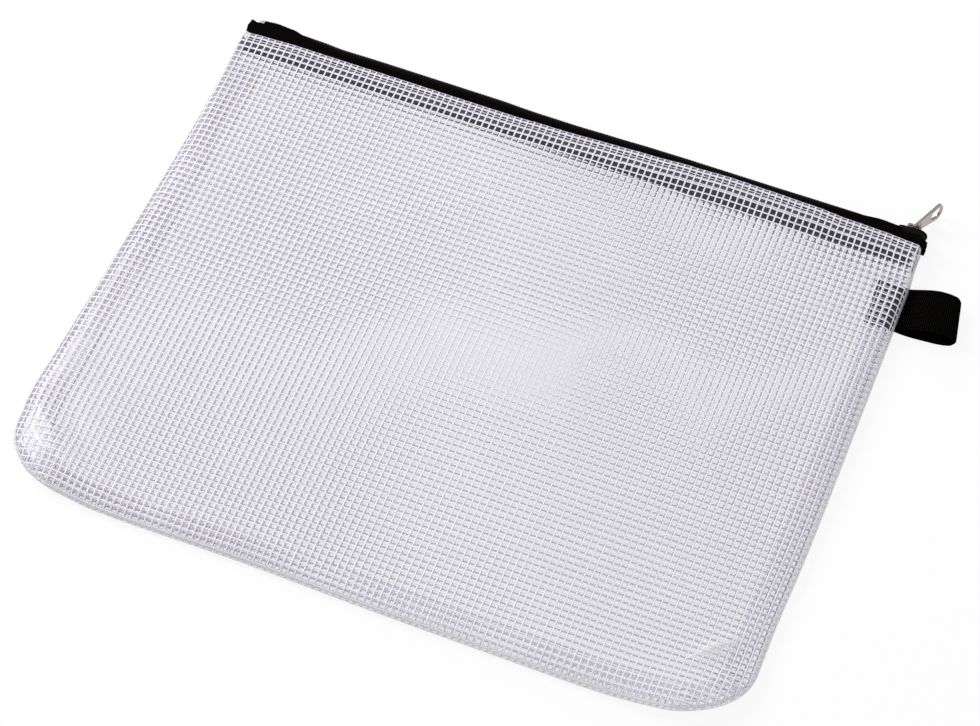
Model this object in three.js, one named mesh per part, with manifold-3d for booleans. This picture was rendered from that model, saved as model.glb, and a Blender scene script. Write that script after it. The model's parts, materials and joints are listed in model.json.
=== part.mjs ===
// A flat zipper pouch of clear film with a woven grid, lying on its back.
// +X runs along the zipper to its closed end, +Y to the mouth and +Z up.
// The origin is the centre of the flat underside. All sizes are in millimetres.
import * as THREE from "three";
import { mergeVertices } from "three/addons/utils/BufferGeometryUtils.js";
import Module from "manifold-3d";

const wasm = await Module();
wasm.setup();

// Pouch body
const bodyWidth = 299.1; // from side edge to side edge at the mouth
const bodyDepth = 234; // from the bottom edge to the mouth edge
const bottomFlare = 5; // how far the left edge swings out on its way down
const cornerRadius = 28;
const mouthThickness = 8.5; // height of the front film's mouth edge
const bottomThickness = 6.2; // height of the front film just inside the bottom edge
const filmThickness = 0.45;
const layerGap = 0.3; // between layers that lie on each other
const hemDepth = 12;
const frontRimRun = 10; // how far inside the edge the front film reaches full height
const mouthRimRun = 1.8; // the same at the stiff mouth
const backRimRun = 2.2; // width of the back film's turned-up rim
const rimFadeLength = 60; // how far below the mouth the rim changes from stiff to soft

// Sewn edge
const allowanceWidth = 10.4;
const allowanceInset = 1.6; // from the turned edge to the allowance
const seamInset = 1.05; // from the turned edge to the sewing
const threadRadius = 0.2;
const hemSeamInset = 3; // from the mouth edge to its sewing

// Zipper
const tapeThickness = 0.55;
const tapeOverlap = 10; // tape under the hem
const tapeReveal = 3.3; // from the mouth edge to the plane of the standing tape
const tapeEndInset = 1.5;
const ridgeRadius = 0.8; // where the tape folds over the mouth
const coilWidth = 2.3;
const coilHeight = 2.2;
const coilGap = 1.4; // slot between the two coils, where the slider's neck runs

// Stops
const bottomStopWidth = 3; // along the chain
const bottomStopInset = 5.4; // from the tape's end to the stop
const bottomStopPlate = 1.1;
const topStopLength = 2.2;
const topStopInset = 0.4; // from the tape's end

// Slider
const sliderLength = 12.8;
const sliderWidth = 8.7;
const sliderTailWidth = 8.1;
const sliderOverhang = 0.75; // past the tape's end when the zipper is closed
const wingThickness = 1.1;
const backWingWidth = 5.2;
const neckLength = 4.6;
const neckThickness = 0.7;
const runningGap = 0.35; // slider to tape and coils
const tableClearance = 0.65; // slider to the surface that the pouch lies on

// Crown and pull tab
const crownLength = 6.2;
const crownWidth = 2.6;
const crownPost = 1;
const crownBridge = 0.9;
const pullLength = 16.9; // from the hinge line to the tip
const pullTipWidth = 7.1;
const pullBaseWidth = 5;
const pullThickness = 1.2;
const pullBarLength = 1; // the bar that turns under the crown
const pullWindowMargin = 0.6; // past the crown's post
const pullAngle = 67; // from +X towards +Y, as the pouch lies
const eyeLength = 7.5;
const eyeWidth = 4.8;
const eyeRim = 1.5; // metal left past the eye at the tip

// Ribbon loop in the right side seam
const ribbonWidth = 20;
const ribbonThickness = 0.6;
const loopDrop = 30; // from the mouth edge down to the middle of the ribbon
const loopReach = 24.5; // from the seam to the outer bend
const loopOpening = 6; // widest gap inside the loop
const loopRootGap = 0.5; // from the seam to where the loop starts
const tailLength = 10;

// Places that follow from the sizes
const mouthY = bodyDepth / 2;
const bottomY = -bodyDepth / 2;
const rightX = bodyWidth / 2;
const seamZ = filmThickness * 2 + ribbonThickness + layerGap * 2.5;
const hemY = mouthY - hemDepth;
const chainZ = sliderWidth / 2 + tableClearance;
const tapeY = mouthY + tapeReveal;
const loopCentreY = mouthY - loopDrop;
const tapeFaceY = tapeY + tapeThickness / 2;
const coilY = tapeFaceY + layerGap;
const coilFaceY = coilY + coilHeight;
const coilInnerZ = coilGap / 2;
const coilOuterZ = coilInnerZ + coilWidth;
const tapeStartX = -bodyWidth / 2 + tapeEndInset;
const tapeEndX = rightX - tapeEndInset;
const frontHemZ = mouthThickness - filmThickness - layerGap - filmThickness / 2;
const frontTapeZ = frontHemZ - filmThickness / 2 - layerGap - tapeThickness / 2;
const backHemZ = filmThickness + layerGap + filmThickness / 2;
const backTapeZ = backHemZ + filmThickness / 2 + layerGap + tapeThickness / 2;
const sliderX = tapeEndX + sliderOverhang - sliderLength / 2;
const wingInnerY = coilFaceY + runningGap;
const wingFaceY = wingInnerY + wingThickness;
const barReach = Math.hypot(pullThickness, pullBarLength) / 2;
const pivotY = wingFaceY + barReach + layerGap;
const bridgeY = pivotY + barReach + layerGap;

// Materials
function finish(color, roughness, metalness, opacity = 1) {
  const clear = opacity < 1;
  return new THREE.MeshStandardMaterial({ color, roughness, metalness, opacity, transparent: clear });
}
const film = finish(0xe4e1ea, 0.25, 0, 0.6);
const tapeCloth = finish(0x111113, 0.85, 0);
const nylon = finish(0x17171a, 0.45, 0);
const blackEnamel = finish(0x141416, 0.35, 0.3);
const nickel = finish(0xa39a94, 0.35, 1);
const whiteMetal = finish(0xdcdcdc, 0.25, 1);
const ribbonCloth = finish(0x0e0e10, 0.9, 0);
const thread = finish(0xf0eef4, 0.6, 0);

const pouch = new THREE.Group();

function addPiece(name, geometry, material) {
  const mesh = new THREE.Mesh(geometry, material);
  mesh.name = name;
  pouch.add(mesh);
  return mesh;
}

// Outline of the pouch
function leftEdgeX(y) {
  const down = Math.min(1, (mouthY - y) / (bodyDepth - cornerRadius));
  return -bodyWidth / 2 - bottomFlare * down;
}

// Distance inside the outline, and the direction to its nearest point
function edgeAt(x, y) {
  const left = x - leftEdgeX(y);
  const right = rightX - x;
  const side = Math.min(left, right);
  const below = y - bottomY;
  const sign = left < right ? -1 : 1;
  if (side < cornerRadius && below < cornerRadius) {
    const dx = cornerRadius - side;
    const dy = cornerRadius - below;
    const reach = Math.hypot(dx, dy);
    return { inset: cornerRadius - reach, out: [(sign * dx) / reach, -dy / reach] };
  }
  if (side < below) return { inset: side, out: [sign, 0] };
  return { inset: below, out: [0, -1] };
}

function smooth(t) {
  const u = Math.min(1, Math.max(0, t));
  return u * u * (3 - 2 * u);
}

// Heights of the two films' outer faces: a quarter-round rim, then nearly flat
function quarterRound(t) {
  const u = Math.min(1, t);
  return Math.sqrt(Math.max(0, 1 - (1 - u) ** 2));
}

function rimSlope(t, height, run) {
  if (t >= 1) return 0;
  return ((height / run) * (1 - t)) / Math.max(quarterRound(t), 1e-3);
}

function frontFace(x, y) {
  const { inset, out } = edgeAt(x, y);
  const rise = smooth((y - bottomY) / (bodyDepth - hemDepth));
  const crown = bottomThickness + (mouthThickness - bottomThickness) * rise;
  const stiff = smooth(1 - (hemY - y) / rimFadeLength);
  const run = frontRimRun + (mouthRimRun - frontRimRun) * stiff;
  const edgeZ = seamZ + layerGap / 2;
  const z = edgeZ + (crown - edgeZ) * quarterRound(inset / run);
  return { z, out, slope: rimSlope(inset / run, crown - edgeZ, run), up: 1 };
}

function backFace(x, y) {
  const { inset, out } = edgeAt(x, y);
  const edgeZ = seamZ - layerGap / 2;
  const z = edgeZ * (1 - quarterRound(inset / backRimRun));
  return { z, out, slope: rimSlope(inset / backRimRun, edgeZ, backRimRun), up: -1 };
}

// Steps that are fine at the edge and coarse inside
const edgeSteps = [0, 0.15, 0.5, 1, 1.8, 2.6, 4, 6, 8.5, 12];

function rowPlaces() {
  const rows = [...edgeSteps, 16, 22, cornerRadius];
  const plainRows = 5;
  const span = bodyDepth - hemDepth - rimFadeLength - cornerRadius;
  for (let i = 1; i <= plainRows; i++) rows.push(cornerRadius + (span * i) / plainRows);
  const fadeRows = 4;
  for (let i = 1; i <= fadeRows; i++) {
    rows.push(bodyDepth - hemDepth - rimFadeLength * (1 - i / fadeRows));
  }
  rows.push(bodyDepth);
  return rows.map((inset) => bottomY + inset);
}

function columnPlaces(y) {
  const below = y - bottomY;
  const cut = below < cornerRadius
    ? cornerRadius - Math.sqrt(cornerRadius ** 2 - (cornerRadius - below) ** 2)
    : 0;
  const start = leftEdgeX(y) + cut;
  const end = rightX - cut;
  const lastStep = edgeSteps[edgeSteps.length - 1];
  const middle = 8;
  const columns = edgeSteps.map((step) => start + step);
  for (let i = 1; i < middle; i++) {
    columns.push(start + lastStep + ((end - start - 2 * lastStep) * i) / middle);
  }
  return [...columns, ...edgeSteps.map((step) => end - step).reverse()];
}

// One film: its outer face, and its inner face a film's thickness inside it
function filmGeometry(face) {
  const rows = rowPlaces().map((y) => columnPlaces(y).map((x) => ({ x, y, ...face(x, y) })));
  const rowCount = rows.length;
  const columnCount = rows[0].length;
  const positions = [];
  for (const point of rows.flat()) positions.push(point.x, point.y, point.z);
  for (const point of rows.flat()) {
    const length = Math.hypot(point.slope, 1);
    const side = (filmThickness * point.slope) / length;
    positions.push(
      point.x - point.out[0] * side,
      point.y - point.out[1] * side,
      point.z - (point.up * filmThickness) / length,
    );
  }
  const inner = rowCount * columnCount;
  const faces = [];
  const quad = (a, b, c, d) => faces.push(a, b, c, a, c, d);
  for (let i = 0; i < rowCount - 1; i++) {
    for (let j = 0; j < columnCount - 1; j++) {
      const a = i * columnCount + j;
      const b = a + columnCount;
      quad(a, a + 1, b + 1, b);
      quad(inner + a, inner + b, inner + b + 1, inner + a + 1);
    }
  }
  const rim = [];
  for (let j = 0; j < columnCount - 1; j++) rim.push(j);
  for (let i = 0; i < rowCount - 1; i++) rim.push(i * columnCount + columnCount - 1);
  for (let j = columnCount - 1; j > 0; j--) rim.push((rowCount - 1) * columnCount + j);
  for (let i = rowCount - 1; i > 0; i--) rim.push(i * columnCount);
  rim.forEach((a, k) => {
    const b = rim[(k + 1) % rim.length];
    quad(a, inner + a, inner + b, b);
  });
  if (rows[0][0].up < 0) faces.reverse();
  return surface(positions, faces);
}

function surface(positions, faces) {
  const geometry = new THREE.BufferGeometry();
  geometry.setAttribute("position", new THREE.Float32BufferAttribute(positions, 3));
  geometry.setIndex(faces);
  geometry.computeVertexNormals();
  return geometry;
}

// Stations round the sewn edge, from the upper left down, along the bottom and up the right side
function sewnEdge(topY) {
  const stations = [];
  const cornerY = bottomY + cornerRadius;
  const sideSteps = 6;
  const cornerSteps = 8;
  const leftCornerX = leftEdgeX(bottomY) + cornerRadius;
  const rightCornerX = rightX - cornerRadius;
  const sideY = (i) => topY + ((cornerY - topY) * i) / sideSteps;
  for (let i = 0; i < sideSteps; i++) {
    stations.push({ x: leftEdgeX(sideY(i)), y: sideY(i), out: [-1, 0] });
  }
  const corner = (x, from) => {
    for (let i = 0; i <= cornerSteps; i++) {
      const angle = from + (Math.PI / 2) * (i / cornerSteps);
      const out = [Math.cos(angle), Math.sin(angle)];
      stations.push({ x: x + out[0] * cornerRadius, y: cornerY + out[1] * cornerRadius, out });
    }
  };
  corner(leftCornerX, Math.PI);
  corner(rightCornerX, Math.PI * 1.5);
  for (let i = sideSteps - 1; i >= 0; i--) stations.push({ x: rightX, y: sideY(i), out: [1, 0] });
  return stations;
}

// A section of [inset, height] points carried round the sewn edge
function rimSweep(section, topY) {
  const stations = sewnEdge(topY);
  const count = section.length;
  const positions = [];
  for (const station of stations) {
    for (const [inset, z] of section) {
      positions.push(station.x - station.out[0] * inset, station.y - station.out[1] * inset, z);
    }
  }
  const faces = [];
  for (let i = 0; i < stations.length - 1; i++) {
    for (let j = 0; j < count; j++) {
      const a = i * count + j;
      const b = i * count + ((j + 1) % count);
      faces.push(a, b, b + count, a, b + count, a + count);
    }
  }
  const last = (stations.length - 1) * count;
  for (let j = 1; j < count - 1; j++) {
    faces.push(0, j + 1, j);
    faces.push(last, last + j, last + j + 1);
  }
  return surface(positions, faces);
}

function bar(sizeX, sizeY, sizeZ, x, y, z) {
  return new THREE.BoxGeometry(sizeX, sizeY, sizeZ).translate(x, y, z);
}

// An outline of [y, z] points carried along X
function alongX(points, startX, endX) {
  const shape = new THREE.Shape(points.map(([y, z]) => new THREE.Vector2(y, z)));
  const geometry = new THREE.ExtrudeGeometry(shape, { depth: endX - startX, bevelEnabled: false });
  geometry.applyMatrix4(new THREE.Matrix4().set(0, 0, 1, startX, 1, 0, 0, 0, 0, 1, 0, 0, 0, 0, 0, 1));
  return geometry;
}

// The outline of a strip of even thickness about a line of points
function stripOutline(line, thickness) {
  const side = (sign) => line.map((point, i) => {
    const before = line[Math.max(0, i - 1)];
    const after = line[Math.min(line.length - 1, i + 1)];
    const du = after[0] - before[0];
    const dv = after[1] - before[1];
    const length = Math.hypot(du, dv);
    const offset = (sign * thickness) / 2 / length;
    return [point[0] - dv * offset, point[1] + du * offset];
  });
  return [...side(1), ...side(-1).reverse()];
}

// Films, hems and allowances
function makeFilms() {
  addPiece("front_panel", filmGeometry(frontFace), film);
  addPiece("back_panel", filmGeometry(backFace), film);
  const hemInset = mouthRimRun + layerGap;
  const hemLength = bodyWidth - 2 * hemInset;
  const hemCentreY = mouthY - hemDepth / 2;
  for (const [name, z] of [["front_hem", frontHemZ], ["back_hem", backHemZ]]) {
    addPiece(name, bar(hemLength, hemDepth, filmThickness, 0, hemCentreY, z), film);
  }
  const half = filmThickness / 2;
  const apart = (layerGap + filmThickness) / 2;
  for (const [name, z] of [["front_seam_allowance", seamZ + apart], ["back_seam_allowance", seamZ - apart]]) {
    const near = allowanceInset;
    const far = allowanceInset + allowanceWidth;
    const section = [[near, z - half], [far, z - half], [far, z + half], [near, z + half]];
    addPiece(name, rimSweep(section, hemY - 1), film);
  }
}

// Sewing
function roundSection(radius, sides, u, v) {
  const points = [];
  for (let i = 0; i < sides; i++) {
    const angle = (2 * Math.PI * i) / sides;
    points.push([u + radius * Math.cos(angle), v + radius * Math.sin(angle)]);
  }
  return points;
}

function makeThreads() {
  const sides = 6;
  const seam = roundSection(threadRadius, sides, seamInset, seamZ);
  addPiece("perimeter_thread", rimSweep(seam, hemY - 1), thread);
  const reach = bodyWidth / 2 - mouthRimRun - layerGap;
  const y = mouthY - hemSeamInset;
  const lift = layerGap + threadRadius;
  const rows = [
    ["front_hem_thread", mouthThickness + lift],
    ["back_hem_thread", backTapeZ + tapeThickness / 2 + lift],
  ];
  for (const [name, z] of rows) {
    addPiece(name, alongX(roundSection(threadRadius, sides, y, z), -reach, reach), thread);
  }
}

// One tape's centre line, from under the hem, over the fold and up to the chain.
// It is worked out for the front, with heights counted up from the chain.
function tapeLine(hemLevel) {
  const standEnd = backWingWidth / 2 + runningGap + tapeThickness;
  const centreY = tapeY - ridgeRadius;
  const bendY = mouthY + tapeThickness;
  let fall = 0.5;
  for (let i = 0; i < 20; i++) {
    const drop = standEnd + ridgeRadius * Math.cos(fall) - hemLevel;
    fall = Math.atan2(drop, centreY - ridgeRadius * Math.sin(fall) - bendY);
  }
  const line = [[mouthY - tapeOverlap, hemLevel], [mouthY, hemLevel], [bendY, hemLevel]];
  const arcSteps = 8;
  for (let i = arcSteps; i >= 0; i--) {
    const angle = ((Math.PI / 2 + fall) * i) / arcSteps;
    line.push([centreY + ridgeRadius * Math.cos(angle), standEnd + ridgeRadius * Math.sin(angle)]);
  }
  line.push([tapeY, coilInnerZ]);
  return line;
}

function makeTapes() {
  const halves = [
    ["front_zipper_tape", 1, frontTapeZ - chainZ],
    ["back_zipper_tape", -1, chainZ - backTapeZ],
  ];
  for (const [name, up, level] of halves) {
    const outline = stripOutline(tapeLine(level), tapeThickness).map(([y, z]) => [y, chainZ + up * z]);
    addPiece(name, alongX(outline, tapeStartX, tapeEndX), tapeCloth);
  }
}

// A coil or top stop: a bar with rounded outer corners on the tape's face
function chainSection(up, trim) {
  const inner = coilInnerZ + trim;
  const outer = coilOuterZ - trim;
  const round = coilHeight * 0.3;
  const face = coilFaceY - trim;
  return [
    [coilY, inner],
    [face - round, inner],
    [face, inner + round],
    [face, outer - round],
    [face - round, outer],
    [coilY, outer],
  ].map(([y, z]) => [y, chainZ + up * z]);
}

function makeChain() {
  const coilStart = tapeStartX + bottomStopInset + bottomStopWidth + layerGap;
  const coilEnd = tapeEndX - topStopInset - topStopLength - layerGap;
  const stopStart = coilEnd + layerGap;
  for (const [side, up] of [["front", 1], ["back", -1]]) {
    addPiece(side + "_coil", alongX(chainSection(up, 0), coilStart, coilEnd), nylon);
    const stop = alongX(chainSection(up, layerGap / 4), stopStart, stopStart + topStopLength);
    addPiece(side + "_top_stop", stop, whiteMetal);
  }
  makeBottomStop();
}

// The bottom stop is clamped on both tapes: a face plate, a back plate and a web between the tapes
function makeBottomStop() {
  const startX = tapeStartX + bottomStopInset;
  const web = coilInnerZ - layerGap;
  const frontInner = tapeFaceY + layerGap;
  const frontOuter = frontInner + bottomStopPlate;
  const backInner = tapeY - tapeThickness / 2 - layerGap;
  const backOuter = backInner - bottomStopPlate / 2;
  const backHalf = backWingWidth / 2;
  const edge = bottomStopPlate * 0.4;
  const half = [
    [backOuter, backHalf],
    [backInner, backHalf],
    [backInner, web],
    [frontInner, web],
    [frontInner, coilOuterZ],
    [frontOuter - edge, coilOuterZ],
    [frontOuter, coilOuterZ - edge],
  ];
  const mirrored = half.map(([y, z]) => [y, -z]);
  const outline = [...half, ...mirrored.reverse()].map(([y, z]) => [y, chainZ + z]);
  addPiece("bottom_stop", alongX(outline, startX, startX + bottomStopWidth), whiteMetal);
}

// Solids for the few cut shapes
function solidOf(geometry) {
  const bare = geometry.clone();
  bare.deleteAttribute("normal");
  bare.deleteAttribute("uv");
  const merged = mergeVertices(bare, 1e-4);
  return new wasm.Manifold(new wasm.Mesh({
    numProp: 3,
    vertProperties: new Float32Array(merged.attributes.position.array),
    triVerts: new Uint32Array(merged.index.array),
  }));
}

function geometryOf(solid) {
  const mesh = solid.getMesh();
  return surface(Array.from(mesh.vertProperties), Array.from(mesh.triVerts));
}

// Slider: a back wing, a front wing with flanges round the coils, and the neck at the head
function makeSlider() {
  const halfLength = sliderLength / 2;
  const backFace = tapeY - tapeThickness / 2 - runningGap;
  const backOuter = backFace - wingThickness;
  const flangeY = tapeFaceY + runningGap;
  const flangeZ = coilOuterZ + runningGap;
  const half = [
    [backOuter, backWingWidth / 2],
    [backFace, backWingWidth / 2],
    [backFace, neckThickness / 2],
    [wingInnerY, neckThickness / 2],
    [wingInnerY, flangeZ],
    [flangeY, flangeZ],
    [flangeY, sliderWidth / 2],
    [wingFaceY, sliderWidth / 2],
  ];
  const mirrored = half.map(([y, z]) => [y, -z]);
  const outline = [...half, ...mirrored.reverse()].map(([y, z]) => [y, chainZ + z]);
  const blank = solidOf(alongX(outline, sliderX - halfLength, sliderX + halfLength));

  const cutLength = sliderLength - neckLength;
  const cutDepth = wingInnerY - backFace;
  const cutX = sliderX - halfLength + cutLength / 2 - 1;
  const cutY = (wingInnerY + backFace) / 2;
  const behindNeck = solidOf(bar(cutLength + 2, cutDepth, neckThickness * 2, cutX, cutY, chainZ));

  const plan = new THREE.Shape();
  const tail = sliderTailWidth / 2;
  const wide = sliderWidth / 2;
  const shoulderX = halfLength * 0.35;
  const round = 1.6;
  plan.moveTo(-halfLength, -tail + round);
  plan.quadraticCurveTo(-halfLength, -tail, -halfLength + round, -tail);
  plan.lineTo(shoulderX, -wide);
  plan.quadraticCurveTo(halfLength, -wide, halfLength, -wide + round * 1.5);
  plan.lineTo(halfLength, wide - round * 1.5);
  plan.quadraticCurveTo(halfLength, wide, shoulderX, wide);
  plan.lineTo(-halfLength + round, tail);
  plan.quadraticCurveTo(-halfLength, tail, -halfLength, tail - round);
  const planDepth = wingFaceY - backOuter + 2;
  const planBlock = new THREE.ExtrudeGeometry(plan, { depth: planDepth, bevelEnabled: false, curveSegments: 4 });
  planBlock.rotateX(Math.PI / 2).translate(sliderX, wingFaceY + 1, chainZ);
  const body = blank.subtract(behindNeck).intersect(solidOf(planBlock));
  addPiece("slider_body", geometryOf(body), blackEnamel);
}

// An outline of [x, y] points about the hinge line, carried along Z
function alongZ(shape, width) {
  const geometry = new THREE.ExtrudeGeometry(shape, { depth: width, bevelEnabled: false, curveSegments: 8 });
  return geometry.translate(0, 0, -width / 2);
}

function makeCrown() {
  const foot = wingFaceY + layerGap - pivotY;
  const under = bridgeY - pivotY;
  const top = under + crownBridge;
  const outer = crownLength / 2;
  const inner = outer - crownPost;
  const round = crownPost;
  const shape = new THREE.Shape();
  shape.moveTo(-outer, foot);
  shape.lineTo(-inner, foot);
  shape.lineTo(-inner, under);
  shape.lineTo(inner, under);
  shape.lineTo(inner, foot);
  shape.lineTo(outer, foot);
  shape.lineTo(outer, top - round);
  shape.quadraticCurveTo(outer, top, outer - round, top);
  shape.lineTo(-outer + round, top);
  shape.quadraticCurveTo(-outer, top, -outer, top - round);
  const crown = addPiece("slider_crown", alongZ(shape, crownWidth), nickel);
  crown.position.set(sliderX, pivotY, chainZ);
}

// Pull tab: drawn flat with its length along X and its width along Y, then stood on edge
function makePullTab() {
  const tip = pullTipWidth / 2;
  const base = pullBaseWidth / 2;
  const tipX = pullLength - tip;
  const shape = new THREE.Shape();
  shape.moveTo(-pullBarLength / 2, -base);
  shape.lineTo(tipX, -tip);
  shape.absarc(tipX, 0, tip, -Math.PI / 2, Math.PI / 2, false);
  shape.lineTo(-pullBarLength / 2, base);
  shape.closePath();

  const windowHalf = crownWidth / 2 + layerGap;
  const windowEnd = crownLength / 2 + pullWindowMargin;
  const slot = new THREE.Path();
  slot.moveTo(pullBarLength / 2, -windowHalf);
  slot.lineTo(pullBarLength / 2, windowHalf);
  slot.lineTo(windowEnd, windowHalf);
  slot.lineTo(windowEnd, -windowHalf);
  slot.closePath();
  shape.holes.push(slot);

  const eyeHalf = eyeWidth / 2;
  const eyeFar = pullLength - eyeRim - eyeHalf;
  const eyeNear = pullLength - eyeRim - eyeLength + eyeHalf;
  const eye = new THREE.Path();
  eye.absarc(eyeFar, 0, eyeHalf, Math.PI / 2, -Math.PI / 2, true);
  eye.absarc(eyeNear, 0, eyeHalf, -Math.PI / 2, -Math.PI * 1.5, true);
  shape.holes.push(eye);

  const tab = addPiece("pull_tab", alongZ(shape, pullThickness), nickel);
  tab.rotation.set(Math.PI / 2, 0, 0);
  const hinge = new THREE.Group();
  hinge.position.set(sliderX, pivotY, chainZ);
  hinge.rotation.z = THREE.MathUtils.degToRad(pullAngle);
  hinge.add(tab);
  pouch.add(hinge);
}

// Ribbon loop: a drop-shaped fold whose two ends enter the seam
function makeLoop() {
  const dropWidth = 0.77; // widest half height of the drop curve at size 1
  const halfHeight = (loopOpening + ribbonThickness) / 2;
  const size = halfHeight / dropWidth;
  const rootHalf = (ribbonThickness + layerGap) / 2;
  const outerZ = halfHeight + ribbonThickness / 2 + layerGap / 4;
  const start = rightX + loopRootGap;
  let first = 0.1;
  while (size * Math.sin(first) * Math.sin(first / 2) < rootHalf) first += 0.005;
  const firstShare = (1 - Math.cos(first)) / 2;
  const length = loopReach - loopRootGap - ribbonThickness / 2;
  const steps = 26;
  const line = [];
  for (let i = 0; i <= steps; i++) {
    const turn = first + ((2 * Math.PI - 2 * first) * i) / steps;
    const share = ((1 - Math.cos(turn)) / 2 - firstShare) / (1 - firstShare);
    const middle = seamZ + (outerZ - seamZ) * smooth(share * 1.6);
    line.push([start + length * share, middle - size * Math.sin(turn) * Math.sin(turn / 2)]);
  }
  const outline = stripOutline(line, ribbonThickness).map(([x, z]) => new THREE.Vector2(x, z));
  const geometry = alongZ(new THREE.Shape(outline), ribbonWidth);
  geometry.rotateX(Math.PI / 2).translate(0, loopCentreY, 0);
  addPiece("ribbon_loop", geometry, ribbonCloth);

  const tailStart = rightX - backRimRun - layerGap;
  const tailX = tailStart - tailLength / 2;
  const lift = filmThickness + layerGap * 1.5 + ribbonThickness / 2;
  for (const [name, z] of [["front_loop_tail", seamZ + lift], ["back_loop_tail", seamZ - lift]]) {
    addPiece(name, bar(tailLength, ribbonWidth, ribbonThickness, tailX, loopCentreY, z), ribbonCloth);
  }
}

makeFilms();
makeThreads();
makeTapes();
makeChain();
makeSlider();
makeCrown();
makePullTab();
makeLoop();

export default pouch;
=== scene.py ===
import json
from math import atan2, ceil, cos, dist, exp, floor, hypot, pi, radians, sin, sqrt, tan, tau

import bmesh
import bpy
from bpy.props import FloatProperty, FloatVectorProperty, PointerProperty
from mathutils import Matrix, Vector, noise


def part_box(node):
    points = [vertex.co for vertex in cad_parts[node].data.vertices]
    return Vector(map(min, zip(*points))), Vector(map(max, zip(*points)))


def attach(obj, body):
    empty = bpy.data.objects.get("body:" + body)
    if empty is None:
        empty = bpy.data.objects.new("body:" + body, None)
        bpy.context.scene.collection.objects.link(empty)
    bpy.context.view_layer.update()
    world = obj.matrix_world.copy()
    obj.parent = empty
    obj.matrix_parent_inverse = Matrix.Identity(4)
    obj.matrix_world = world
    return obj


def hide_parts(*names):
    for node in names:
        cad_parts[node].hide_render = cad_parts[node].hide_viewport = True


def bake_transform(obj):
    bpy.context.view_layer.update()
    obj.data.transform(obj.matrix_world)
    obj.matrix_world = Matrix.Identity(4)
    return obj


bl_info = {
    "name": "Zipper pouch",
    "version": (1, 0, 0),
    "blender": (4, 5, 0),
    "location": "3D View > Sidebar > Pouch",
    "description": "A clear film pouch with a woven grid, a coil zipper and a ribbon loop",
    "category": "Add Mesh",
}

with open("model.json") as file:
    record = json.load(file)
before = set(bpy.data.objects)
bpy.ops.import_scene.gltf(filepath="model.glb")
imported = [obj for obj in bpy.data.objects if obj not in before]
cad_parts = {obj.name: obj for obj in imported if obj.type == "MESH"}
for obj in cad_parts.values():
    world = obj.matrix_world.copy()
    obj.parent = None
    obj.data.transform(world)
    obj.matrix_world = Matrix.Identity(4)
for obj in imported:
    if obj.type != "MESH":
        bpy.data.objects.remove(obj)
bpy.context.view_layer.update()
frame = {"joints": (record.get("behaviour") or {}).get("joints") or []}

# Every shape is worked out in millimetres and made metres when its piece is finished.
MM = 0.001


def box(node):
    low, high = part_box(node)
    return low / MM, high / MM


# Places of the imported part
FRONT_LOW, FRONT_HIGH = box("front_panel")
RIGHT = FRONT_HIGH.x
FLARE = -RIGHT - FRONT_LOW.x
BOTTOM = FRONT_LOW.y
MOUTH = FRONT_HIGH.y
DEPTH = MOUTH - BOTTOM
# Side 1 is the front and -1 the back
ALLOWANCES = {1: box("front_seam_allowance"), -1: box("back_seam_allowance")}
TAPES = {1: box("front_zipper_tape"), -1: box("back_zipper_tape")}
COILS = {1: box("front_coil"), -1: box("back_coil")}
SEAM_LOW = ALLOWANCES[-1][1].z
SEAM_HIGH = ALLOWANCES[1][0].z
SEAM_Z = (SEAM_HIGH + SEAM_LOW) / 2
SEAM_TOP = ALLOWANCES[1][1].y
TAPE_LOW, TAPE_HIGH = TAPES[1]
COIL_LOW = COILS[1][0]
CHAIN_Z = (COIL_LOW.z + COILS[-1][1].z) / 2
STOP_LOW, STOP_HIGH = box("bottom_stop")
SLIDER_LOW, SLIDER_HIGH = box("slider_body")
CROWN_LOW, CROWN_HIGH = box("slider_crown")
LOOP_LOW, LOOP_HIGH = box("ribbon_loop")
TAIL_LOW, TAIL_HIGH = box("front_loop_tail")
HINGES = {joint["name"]: joint for joint in frame["joints"]}

# Sizes that the panel doesn't offer, in millimetres, and the pull tab's angle
SOLID_HEM = 12
BOTTOM_CROWN = 6.2
MOUTH_TURN = 0.38
FOLD_DEPTH = 0.55
FILM_SKIN = 0.06
YARN_MARGIN = 0.25
SEAM_INSET = 1.05
HEM_SEAM_INSET = 3.4
CHAIN_GAP = 0.42
TAPE_RIDGE = 0.8
PULL_ANGLE = radians(62)

UP = Vector((0, 0, 1))


def length(name, description, millimetres):
    size = millimetres * MM
    return FloatProperty(name=name, description=description, default=size, unit="LENGTH", precision=5)


def colour(name, description, default):
    return FloatVectorProperty(
        name=name, description=description, default=default, subtype="COLOR", size=3, min=0, max=1
    )


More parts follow.
